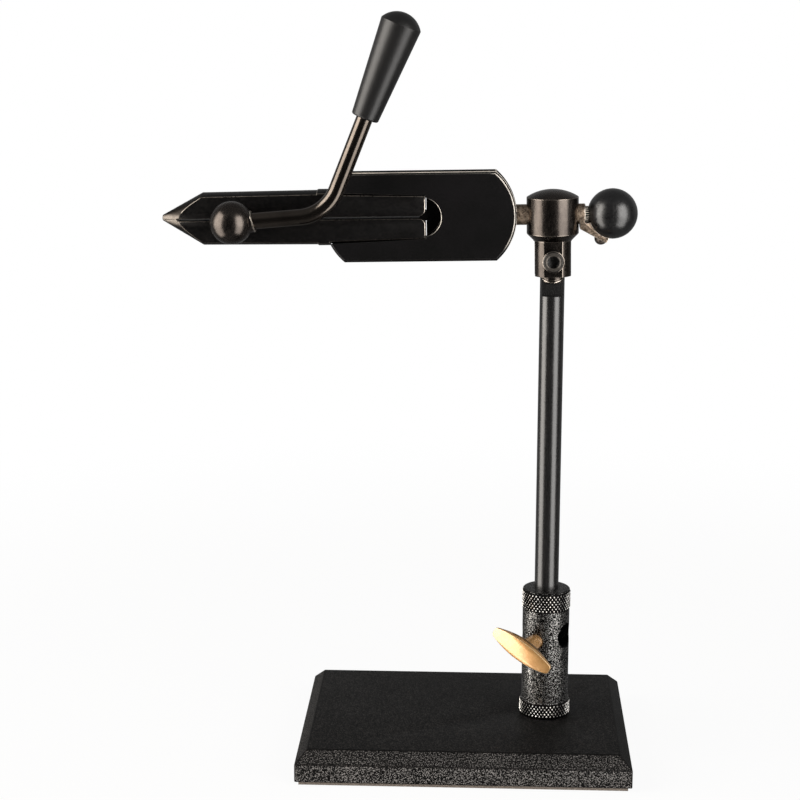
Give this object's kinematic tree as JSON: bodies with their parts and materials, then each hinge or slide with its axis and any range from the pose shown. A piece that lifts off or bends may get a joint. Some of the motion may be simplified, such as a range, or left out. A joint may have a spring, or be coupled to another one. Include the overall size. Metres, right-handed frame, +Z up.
{
  "type": "fly tying vise",
  "caption": "Pedestal fly tying vise: a stem in a clamp socket carries a tilting head whose rotary frame holds two cam-opened pointed jaws.",
  "frame": {"origin": "middle of the base pad's underside", "axes": "+X from the jaws towards the rear ball, +Y away from the tyer, +Z up the stem"},
  "size_m": [0.1838, 0.098, 0.2929],
  "materials": {
    "powder_black": "coarse powder coat",
    "pad_tan": "matt",
    "hammertone": "speckled hammertone",
    "zinc_steel": "zinc plated",
    "brass": "brushed",
    "stem_black": "black satin",
    "black_nickel": "black nickel plate",
    "black_oxide": "black oxide",
    "nylon": "natural",
    "plated_grey": "grainy plate",
    "frame_black": "flat black with bright edges",
    "ball_black": "moulded gloss",
    "grip_black": "satin"
  },
  "bodies": {
    "base": {"base_plate": "powder_black", "base_pad": "pad_tan", "stem_socket": "hammertone", "socket_bolt": "zinc_steel", "socket_washer": "zinc_steel"},
    "thumbscrew": {"thumbscrew": "brass"},
    "stem": {"stem": "stem_black"},
    "head": {"head_block": "black_nickel", "pivot_screw": "black_oxide", "drag_screw": "black_oxide", "drag_plug": "nylon"},
    "rotor": {"rotary_shaft": "plated_grey", "rear_ball": "ball_black", "knob_screw": "black_oxide", "head_frame": "frame_black", "frame_screw": "black_oxide"},
    "upper_jaw": {"upper_jaw": "black_oxide"},
    "lower_jaw": {"lower_jaw": "black_oxide"},
    "lever": {"cam_shaft": "zinc_steel", "cam_washer": "zinc_steel", "cam_clip": "black_oxide", "lever_ball": "black_nickel", "lever_rod": "black_nickel", "lever_grip": "grip_black"}
  },
  "joints": [
    {"name": "thumbscrew_turn", "type": "hinge", "parent": "base", "child": "thumbscrew", "pos_m": [0.03225, 0, 0.046], "axis": [-0.4617, -0.887, 0], "range_deg": [0, 360]},
    {"name": "stem_height", "type": "slide", "parent": "base", "child": "stem", "axis": [0, 0, 1], "range_m": [0, 0.02]},
    {"name": "head_tilt", "type": "hinge", "parent": "stem", "child": "head", "pos_m": [0.03225, 0, 0.1988], "axis": [0, 1, 0], "range_deg": [-65, 80]},
    {"name": "rotary_turn", "type": "hinge", "parent": "head", "child": "rotor", "pos_m": [0.03189, 0, 0.216], "axis": [0.9998, 0, 0.0209], "continuous": true},
    {"name": "lever_swing", "type": "hinge", "parent": "rotor", "child": "lever", "pos_m": [-0.09041, 0, 0.21343], "axis": [0, 1, 0], "range_deg": [0, 60]},
    {"name": "upper_jaw_open", "type": "hinge", "parent": "rotor", "child": "upper_jaw", "pos_m": [-0.01827, 0, 0.22295], "axis": [0, 1, 0], "range_deg": [0, 0.75]},
    {"name": "lower_jaw_open", "type": "hinge", "parent": "rotor", "child": "lower_jaw", "pos_m": [-0.01793, 0, 0.20695], "axis": [0, -1, 0], "range_deg": [0, 0.75]}
  ],
  "couplings": [
    {"joint": "upper_jaw_open", "follows": "lever_swing", "ratio": 0.012333},
    {"joint": "lower_jaw_open", "follows": "lever_swing", "ratio": 0.012333}
  ]
}
